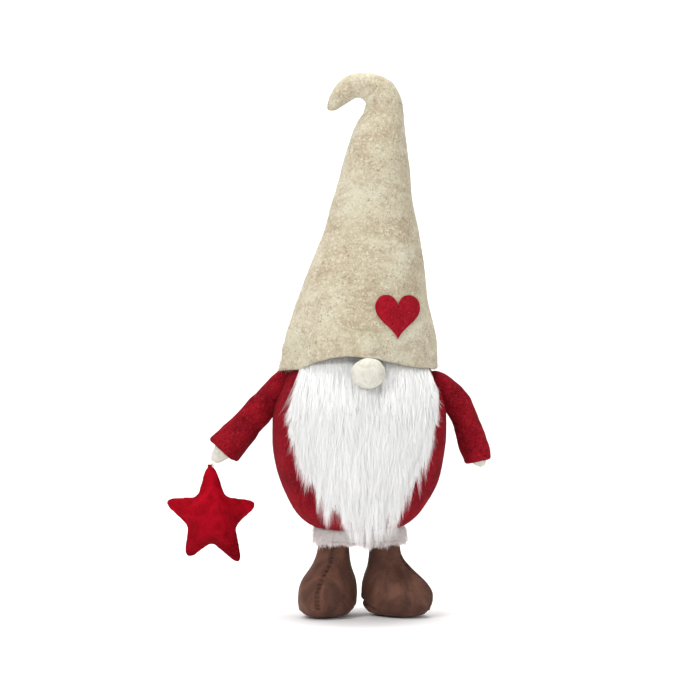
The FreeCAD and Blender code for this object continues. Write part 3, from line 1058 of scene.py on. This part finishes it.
def strand_pieces(name, paths, root_width, materials, body, rng):
    """Tapered ribbon strands along paths (count, steps, 3) in millimetres, in pieces of limited size."""
    count, steps, _ = paths.shape
    per_strand = 2 * (steps - 2) + 1
    share = int(FACES_PER_PIECE / per_strand)
    order = rng.permutation(count)
    pieces = []
    for part, start in enumerate(range(0, count, share)):
        chosen = order[start:start + share]
        piece = ribbon_mesh(f"{name}_{part + 1}", paths[chosen], root_width, materials, rng)
        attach(piece, body)
        pieces.append(piece)
    return pieces


def ribbon_mesh(name, paths, root_width, materials, rng):
    """One mesh of ribbons, each with its own twist, ending in a point."""
    count, steps, _ = paths.shape
    along = np.gradient(paths, axis=1)
    along /= np.maximum(np.linalg.norm(along, axis=2, keepdims=True), 1e-9)
    side = rng.normal(size=(count, 1, 3)) * (1.0, 0.35, 0.3)
    side = side - (side * along).sum(axis=2, keepdims=True) * along
    side /= np.maximum(np.linalg.norm(side, axis=2, keepdims=True), 1e-9)
    taper = np.linspace(0, 1, steps)[None, :, None]
    width = root_width * (1 - 0.85 * taper ** 1.6) * rng.uniform(0.7, 1.25, (count, 1, 1)) / 2
    left = (paths + side * width)[:, :-1]
    right = (paths - side * width)[:, :-1]
    tip = paths[:, -1:]
    points = np.concatenate([left, right, tip], axis=1) * MM
    points += np.array(AXIS)
    per = 2 * (steps - 1) + 1
    base = (np.arange(count) * per)[:, None]
    row = np.arange(steps - 2)[None, :]
    quads = np.stack([base + row, base + row + 1, base + steps - 1 + row + 1, base + steps - 1 + row],
                     axis=2).reshape(-1, 4)
    tips = np.stack([base[:, 0] + steps - 2, base[:, 0] + per - 1, base[:, 0] + 2 * steps - 3], axis=1)
    mesh = bpy.data.meshes.new(name)
    fill_mesh(mesh, points.reshape(-1, 3), quads, tips)
    for material in materials:
        mesh.materials.append(material)
    kinds = rng.integers(0, len(materials), count)
    quad_kinds = np.repeat(kinds, steps - 2)
    mesh.polygons.foreach_set("material_index", np.concatenate([quad_kinds, kinds]))
    mesh.polygons.foreach_set("use_smooth", np.ones(len(mesh.polygons), bool))
    mesh.update()
    return put_in_scene(name, mesh)


def fill_mesh(mesh, points, quads, triangles):
    """Fill a mesh from arrays of points, four-sided faces and three-sided faces."""
    mesh.vertices.add(len(points))
    mesh.vertices.foreach_set("co", points.reshape(-1))
    mesh.loops.add(quads.size + triangles.size)
    mesh.loops.foreach_set("vertex_index", np.concatenate([quads.reshape(-1), triangles.reshape(-1)]))
    mesh.polygons.add(len(quads) + len(triangles))
    starts = np.concatenate([np.arange(len(quads)) * 4, quads.size + np.arange(len(triangles)) * 3])
    mesh.polygons.foreach_set("loop_start", starts)
    mesh.update(calc_edges=True)


def nearest(points, centres):
    """For each point, the index of the nearest centre."""
    tree = kdtree.KDTree(len(centres))
    for index, centre in enumerate(centres):
        tree.insert((*centre, 0), index)
    tree.balance()
    return np.array([tree.find((*point, 0))[1] for point in points])


def beard_limits(z):
    """The beard's left and right reach at some heights."""
    edge = np.array(BEARD_EDGE)
    left, right = edge[:6][::-1], edge[5:]
    return np.interp(z, left[:, 1], left[:, 0]), np.interp(z, right[:, 1], right[:, 0])


def beard_bottom(x):
    """How low the hair ends reach at some places across."""
    edge = np.array(BEARD_EDGE)[1:-1]
    return np.interp(x, edge[:, 0], edge[:, 1], left=240, right=240)


def front_of_body(x, z, out):
    """The y of points lying on the body's front, out millimetres from it, hanging free low down."""
    rows = np.array(BODY_RUN[::-1])
    level = np.maximum(z, 118)
    half = np.interp(level, rows[:, 0], (rows[:, 1] + rows[:, 2]) / 2) + out
    return -half * BODY_DEPTH * np.sqrt(np.maximum(1 - (x / half) ** 2, 0.03))


def beard_roots(count, rng):
    """Places on the patch of fur under the brim, evenly spread."""
    x = rng.uniform(*ROOTS_X, count * 3)
    z = rng.uniform(*ROOTS_Z, count * 3)
    left, right = beard_limits(z)
    room = z - beard_bottom(x)
    rows = np.array(BODY_RUN[::-1])
    half = np.interp(z, rows[:, 0], rows[:, 1])
    on_patch = (np.abs(x) < half - 3) & (x > left + 3) & (x < right - 3)
    good = on_patch & (room > rng.uniform(26, 46, len(x)))
    return x[good][:count], z[good][:count]


def lock_values(near, count, rng, low, high):
    """One random value for each lock, handed to its hairs."""
    return rng.uniform(low, high, count)[near]


def comb(x, z, length, lean, lift, rng, steps=9):
    """Paths of hairs that leave the backing, lie down and hang under their own weight."""
    t = np.linspace(0, 1, steps)[None, :]
    curl = rng.uniform(0, 2 * np.pi, len(x))[:, None]
    sway = rng.uniform(0.2, 1.8, len(x))[:, None]
    fall = length[:, None] * t
    bent = lean[:, None] * fall * (0.5 + 0.5 * t)
    across = x[:, None] + bent + sway * t * np.sin(curl + 4.2 * t)
    down = z[:, None] - fall * np.sqrt(1 - np.minimum(lean[:, None] ** 2, 0.5))
    out = lift[:, None] * (1 - np.exp(-7 * t)) * (1 - 0.2 * t) + 1.2
    return across, down, out


def gather(across, down, out, leader, share):
    """Draw hairs together into locks towards their ends."""
    t = np.linspace(0, 1, across.shape[1])[None, :]
    pull = share[:, None] * t ** 1.5
    across = across + pull * (across[leader] - across)
    out = out + pull * (out[leader] - out)
    return across, down, out


def make_beard(whites):
    """Long straight white fur: dense and soft above, parting into thin separate locks below."""
    rng = np.random.default_rng(5)
    x, z = beard_roots(BEARD_HAIRS, rng)
    total = len(x)
    locks = total // 55
    heads = rng.choice(total, locks, replace=False)
    near = nearest(np.stack([x, z * 0.6], axis=1), np.stack([x[heads], z[heads] * 0.6], axis=1))
    edge = np.clip(np.abs(x - 3) / 68, 0, 1.1)
    splay = np.sign(x) * (0.07 * edge + 0.2 * edge ** 4) * np.clip((z - 100) / 60, -0.1, 1)
    lean = splay + lock_values(near, locks, rng, -0.17, 0.17) + rng.normal(0, 0.06, total)
    stray = rng.random(total) < 0.05 + 0.12 * (edge > 0.8)
    lean = np.where(stray, lean + rng.normal(0, 0.2, total), lean)
    reach = lock_values(near, locks, rng, 0, 1)
    short = 46 * (1 - reach ** 2.2) + rng.uniform(-8, 10, total)
    full = lock_values(near, locks, rng, 48, 68) + rng.uniform(-8, 8, total)
    room = z - beard_bottom(x + lean * 40)
    length = np.clip(np.minimum(full, room - short + 4), 14, 78)
    bulk = np.clip((254 - z) / 14, 0.35, 1)
    lift = (lock_values(near, locks, rng, 3.0, 8.0) + rng.uniform(0, 4.5, total)) * bulk
    lift = np.where(stray, lift + rng.uniform(0, 4, total), lift)
    across, down, out = comb(x, z, length, lean, lift, rng)
    share = np.where(stray, 0.05, lock_values(near, locks, rng, 0.15, 0.8))
    across, down, out = gather(across, down, out, heads[near], share)
    paths = np.stack([across, front_of_body(across, down, out), down], axis=2)
    pieces = strand_pieces("beard_fur", paths, BEARD_HAIR_WIDTH, whites, "body", rng)
    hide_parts("beard_pile")


def make_beard_skin(cloth):
    """The fur's knitted backing, laid on the body's front."""
    columns, rows = 40, 34
    points, faces = [], []
    for out in (1.6, 0.4):
        for row in range(rows):
            for column in range(columns):
                x = SKIN_LEFT + SKIN_WIDTH * column / (columns - 1)
                low = min(max(float(beard_bottom(x)) + 46, 124), 225)
                z = SKIN_TOP - (SKIN_TOP - low) * row / (rows - 1)
                points.append((x, float(front_of_body(np.array(x), np.array(z), out)), z))
    sheet = rows * columns
    for row in range(rows - 1):
        for column in range(columns - 1):
            a = row * columns + column
            b, c, d = a + 1, a + columns + 1, a + columns
            faces.append((a, b, c, d))
            faces.append((sheet + a, sheet + d, sheet + c, sheet + b))
    rim = [(0, c, 0, c + 1) for c in range(columns - 1)]
    rim += [(rows - 1, c, rows - 1, c + 1) for c in range(columns - 1)]
    rim += [(r, 0, r + 1, 0) for r in range(rows - 1)]
    rim += [(r, columns - 1, r + 1, columns - 1) for r in range(rows - 1)]
    for row, column, next_row, next_column in rim:
        a, b = row * columns + column, next_row * columns + next_column
        faces.append((a, b, sheet + b, sheet + a))
    skin = make_piece("beard_skin", to_frame(points), faces, cloth, "body")
    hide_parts("beard_backing")


def make_trim(cloth, greys):
    """A band of shorter fur round the bottom of the body, hanging over the boots' tops."""
    rng = np.random.default_rng(9)
    count = TRIM_HAIRS
    rows = []
    for z, grow in TRIM_RUN:
        rows.append(ring(0, z, TRIM_HALF[0] - 2 + grow, TRIM_HALF[1] - 2 + grow, 0, 72))
    points, faces = closed_rows(rows)
    points = dent(points, 12, 0.8, 61)
    band = make_piece("trim_band", to_frame(points), faces, cloth, "body")
    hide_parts("fur_trim")
    angle = rng.uniform(0, 2 * np.pi, count)
    inside = np.where(rng.random(count) < 0.5, 1.0, np.sqrt(rng.random(count)))
    z = np.where(inside > 0.98, rng.uniform(74, 88, count), 73.0)
    x = TRIM_HALF[0] * inside * np.sin(angle)
    y = -TRIM_HALF[1] * inside * np.cos(angle)
    t = np.linspace(0, 1, 6)[None, :]
    ragged = 0.75 + 0.45 * np.sin(angle * 9) * np.sin(angle * 5 + 1)
    length = (rng.uniform(4, 10, count) * ragged * np.where(inside > 0.98, 1.0, 0.8))[:, None]
    out = (rng.uniform(0.5, 2.6, count)[:, None] * (1 - np.exp(-5 * t))) * inside[:, None]
    turn = rng.normal(0, 0.16, count)[:, None]
    turn = turn + 0.35 * np.sin(angle * 13)[:, None]
    push_x = np.sin(angle)[:, None] * out + turn * length * t
    push_y = -np.cos(angle)[:, None] * out + rng.normal(0, 0.12, count)[:, None] * length * t
    down = z[:, None] - length * t * 0.93
    paths = np.stack([x[:, None] + push_x, y[:, None] + push_y, down], axis=2)
    strand_pieces("trim_fur", paths, TRIM_HAIR_WIDTH, greys, "body", rng)


def make_fuzz(name, piece, count, length, materials, seed, below):
    """Short loose wool fibres that stand off a felt surface, below a height in millimetres."""
    rng = np.random.default_rng(seed)
    mesh = piece.data
    total = len(mesh.polygons)
    area, centre, normal = np.empty(total), np.empty(total * 3), np.empty(total * 3)
    mesh.polygons.foreach_get("area", area)
    mesh.polygons.foreach_get("center", centre)
    mesh.polygons.foreach_get("normal", normal)
    centre, normal = centre.reshape(-1, 3), normal.reshape(-1, 3)
    area = area * (((centre - np.array(AXIS)) / MM)[:, 2] < below)
    picked = rng.choice(total, count, p=area / area.sum())
    spread = np.sqrt(area[picked])[:, None] * 0.7
    roots = centre[picked] + rng.normal(0, 0.5, (count, 3)) * spread
    roots = (roots - np.array(AXIS)) / MM
    ahead = normal[picked] * rng.uniform(0.15, 0.9, (count, 1)) + rng.normal(0, 0.55, (count, 3))
    bend = rng.normal(0, 0.6, (count, 3))
    reach = length * rng.uniform(0.4, 1.0, (count, 1, 1))
    t = np.linspace(0, 1, 4)[None, :, None]
    paths = roots[:, None, :] - normal[picked][:, None, :] * 0.1
    paths = paths + reach * (ahead[:, None, :] * t + bend[:, None, :] * t ** 2)
    strand_pieces(name, paths, WOOL_WIDTH, materials, "body", rng)


# ---------------------------------------------------------------- stage, lights, camera

def make_stage():
    """A pale seamless sweep: floor, round corner and back wall."""
    profile = [(-3.2, 0.0), (1.6, 0.0)]
    for step in range(1, 13):
        angle = math.pi / 2 * step / 12
        profile.append((1.6 + 1.2 * math.sin(angle), 1.2 - 1.2 * math.cos(angle)))
    profile.append((2.8, 4.0))
    points, faces = [], []
    for y, z in profile:
        points += [(-4.5, y, z), (4.5, y, z)]
    for row in range(len(profile) - 1):
        faces.append((2 * row, 2 * row + 1, 2 * row + 3, 2 * row + 2))
    shader = Shader("sweep_paper", 0.9, Base_Color=(0.93, 0.93, 0.93, 1))
    mesh = bpy.data.meshes.new("sweep")
    mesh.from_pydata(points, [], faces)
    smooth_faces(mesh)
    sweep = put_in_scene("sweep", mesh)
    finish_in(sweep, shader.material)
    sweep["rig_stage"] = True


def add_light(name, spot, aim, size, power):
    lamp = bpy.data.lights.new(name, "AREA")
    lamp.shape = "DISK"
    lamp.size = size
    lamp.energy = power
    light = put_in_scene(name, lamp)
    light.location = spot
    light.rotation_euler = (Vector(aim) - Vector(spot)).to_track_quat("-Z", "Y").to_euler()


def light_stage():
    """Soft studio light: a large key from the upper left, a wide fill and a glow on the sweep."""
    world = bpy.data.worlds.new("studio")
    world.use_nodes = True
    world.node_tree.nodes["Background"].inputs["Color"].default_value = (1, 1, 1, 1)
    world.node_tree.nodes["Background"].inputs["Strength"].default_value = 0.5
    bpy.context.scene.world = world
    middle = (0, 0, 0.26)
    add_light("key", (-1.1, -1.5, 1.6), middle, 0.9, 26)
    add_light("fill", (1.6, -1.6, 0.7), middle, 1.4, 9)
    add_light("top", (0.0, -0.2, 2.2), middle, 1.2, 12)
    add_light("sweep_glow", (0.0, 0.6, 2.6), (0, 2.2, 0.3), 2.0, 60)


def make_camera():
    """Level, about two metres away, with a long lens."""
    data = bpy.data.cameras.new("camera")
    data.lens = LENS
    data.sensor_width = 36
    camera = put_in_scene("camera", data)
    camera.location = place(*CAMERA)
    camera.rotation_euler = (math.pi / 2, 0, 0)
    bpy.context.scene.camera = camera


def finish_inner_nodes(fibre):
    """Give the hidden CAD pieces their own finishes."""
    finishes = {"board": wood("board_wood", (0.42, 0.30, 0.18), (0.60, 0.45, 0.28)),
                "rod": wood("dowel_wood", (0.52, 0.40, 0.25), (0.70, 0.56, 0.38)),
                "wire": steel(), "stuffing": fibre}
    for node, piece in frame["nodes"].items():
        for ending, finish in finishes.items():
            if node.endswith(ending):
                finish_in(piece, finish)


def make_wool(hat, body):
    """Loose fibres on the hat, below the part that bends, and on the body."""
    pale = [hair("wool_pale", (0.62, 0.55, 0.43), 0.8), hair("wool_dark", (0.36, 0.27, 0.18), 0.8)]
    reds = [hair("wool_red", (0.33, 0.012, 0.022), 0.8), hair("wool_deep", (0.15, 0.004, 0.009), 0.8)]
    make_fuzz("hat_fuzz", hat, 9000, 2.0, pale, seed=73, below=440)
    make_fuzz("brim_fuzz", hat, 2600, 3.4, pale, seed=79, below=247)
    make_fuzz("body_fuzz", body, 8000, 2.0, reds, seed=71, below=235)


def name_slots():
    """Go through the mesh pieces that have finishes, apart from the stage, and change nothing."""
    for piece in bpy.data.objects:
        if piece.type != "MESH" or not piece.data.materials or piece.get("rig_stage"):
            continue


def main():
    bpy.context.scene.view_settings.view_transform = "Standard"
    make_camera()
    make_stage()
    light_stage()
    oatmeal = hat_felt()
    crimson = red_felt("red_felt", (0.13, 0.0025, 0.007), (0.25, 0.005, 0.012), (0.34, 0.018, 0.028))
    heart_red = red_felt("heart_felt", (0.22, 0.003, 0.010), (0.33, 0.006, 0.016),
                         (0.44, 0.025, 0.04), 0.8)
    cream = cream_felt()
    plush = velvet()
    suede = microsuede()
    whites = [hair("fur_white", (0.93, 0.93, 0.925)), hair("fur_bright", (0.96, 0.96, 0.95)),
              hair("fur_soft", (0.89, 0.89, 0.885))]
    greys = [hair("trim_pale", (0.80, 0.75, 0.73)), hair("trim_mid", (0.66, 0.60, 0.58))]
    backing = woven_backing()
    fibre = fibre_fill()
    hat = make_hat(oatmeal)
    make_heart(heart_red, hat)
    make_nose(cream)
    body = make_body(crimson)
    fill_inside(body, "body", "body_stuffing", 2.4, fibre, low=88.2)
    fill_inside(hat, "body", "hat_stuffing", 4.4, fibre, *HAT_FILLING)
    fill_inside(hat, "hat_tip", "hat_tip_stuffing", 4.4, fibre, low=TIP_FILLING_LOW)
    thread = cotton("boot_thread", (0.030, 0.014, 0.010))
    board = wood("insole_board", (0.42, 0.30, 0.18), (0.60, 0.45, 0.28))
    boot_layers = [("_boot_insole", board, 3.2, 5.2), ("_boot_pellet_bag", calico(), 5.4, 22),
                   ("_boot_stuffing", fibre, 22.2, 67)]
    for side in ("left", "right"):
        make_sleeve(side, crimson)
        make_hand(side, cream)
        boot = make_boot(side, suede)
        make_boot_stitches(side, boot, thread)
        for ending, finish, low, high in boot_layers:
            fill_inside(boot, side + "_boot", side + ending, 3.0, finish, low, high)
    star = make_star(plush)
    fill_inside(star, "star", "star_stuffing", 1.8, fibre)
    make_thread(cotton("thread_cotton", (0.72, 0.62, 0.58)))
    make_beard_skin(backing)
    make_beard(whites)
    make_trim(backing, greys)
    make_wool(hat, body)
    finish_inner_nodes(fibre)
    name_slots()


main()
